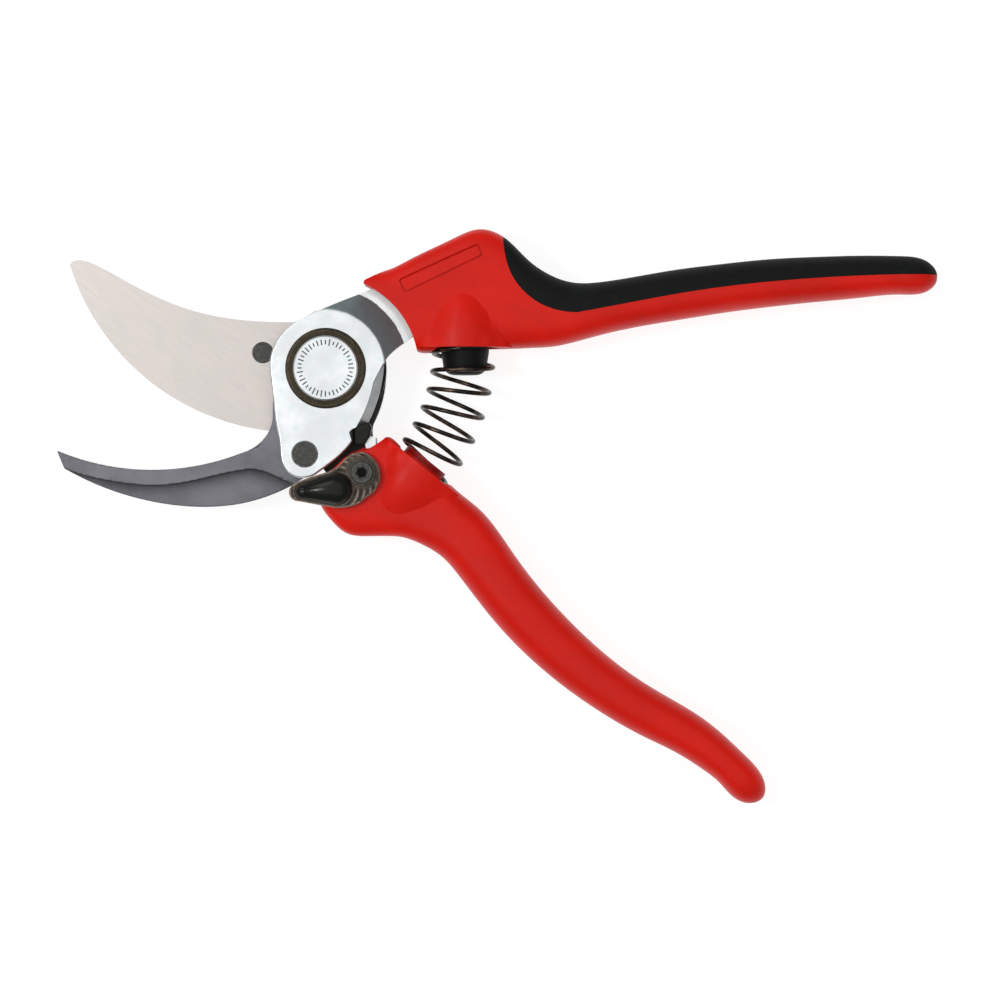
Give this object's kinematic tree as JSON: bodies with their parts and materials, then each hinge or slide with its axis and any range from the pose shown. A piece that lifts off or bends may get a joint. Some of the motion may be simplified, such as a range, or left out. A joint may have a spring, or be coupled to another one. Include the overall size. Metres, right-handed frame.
{
  "type": "pruning shears",
  "caption": "Bypass pruning shears with open curved jaws, a coil spring between red moulded handles, a soft grip and a thumb lock.",
  "frame": {"origin": "on the main pivot's axis, at the back face of the pivot bolt and nut, which is the plane the shears lie on", "axes": "+Z along the pivot axis, up from the resting plane; +X towards the handle ends; +Y towards the upper handle; jaws open at rest"},
  "size_m": [0.2161, 0.1411, 0.0221],
  "materials": {
    "zinc_plate": "bright zinc plating, satin",
    "phosphate_steel": "dark matte phosphate",
    "rivet_steel": "dark oiled steel",
    "black_steel": "black oxide",
    "bright_cap": "satin zinc",
    "burnished_ring": "burnished, nearly black",
    "spring_steel": "oil-blackened wire",
    "red_shell": "satin red moulding",
    "black_grip": "soft matte grip",
    "black_rubber": "matte",
    "ground_blade": "fine ground steel",
    "bronze": "plain bearing bronze",
    "black_lever": "glossy black, worn brown at the edges"
  },
  "bodies": {
    "upper_handle": {"head_plate": "zinc_plate", "counter_blade": "phosphate_steel", "counter_blade_rivet": "rivet_steel", "stop_block": "black_steel", "pivot_bolt": "bright_cap", "pivot_ring": "burnished_ring", "pivot_spring_washer": "spring_steel", "pivot_nut": "bright_cap", "upper_handle_shell": "red_shell", "soft_grip": "black_grip", "bumper": "black_rubber", "return_spring": "spring_steel"},
    "lower_handle": {"cutting_blade": "ground_blade", "blade_rivet": "rivet_steel", "pivot_bush": "bronze", "lower_tang": "zinc_plate", "lower_handle_shell": "red_shell", "lever_sleeve": "bronze", "lever_washer": "spring_steel", "lever_screw": "black_steel"},
    "lock_lever": {"lock_lever": "black_lever"}
  },
  "joints": [
    {"name": "main_pivot", "type": "hinge", "parent": "upper_handle", "child": "lower_handle", "pos_m": [0, 0, 0], "axis": [0, 0, 1], "range_deg": [0, 40], "stiffness_Nm_per_rad": 0.6, "springref_deg": -20.05, "deforming": ["return_spring"]},
    {"name": "lock_pivot", "type": "hinge", "parent": "lower_handle", "child": "lock_lever", "pos_m": [0.009, -0.0255, 0], "axis": [0, 0, -1], "range_deg": [0, 46]}
  ]
}
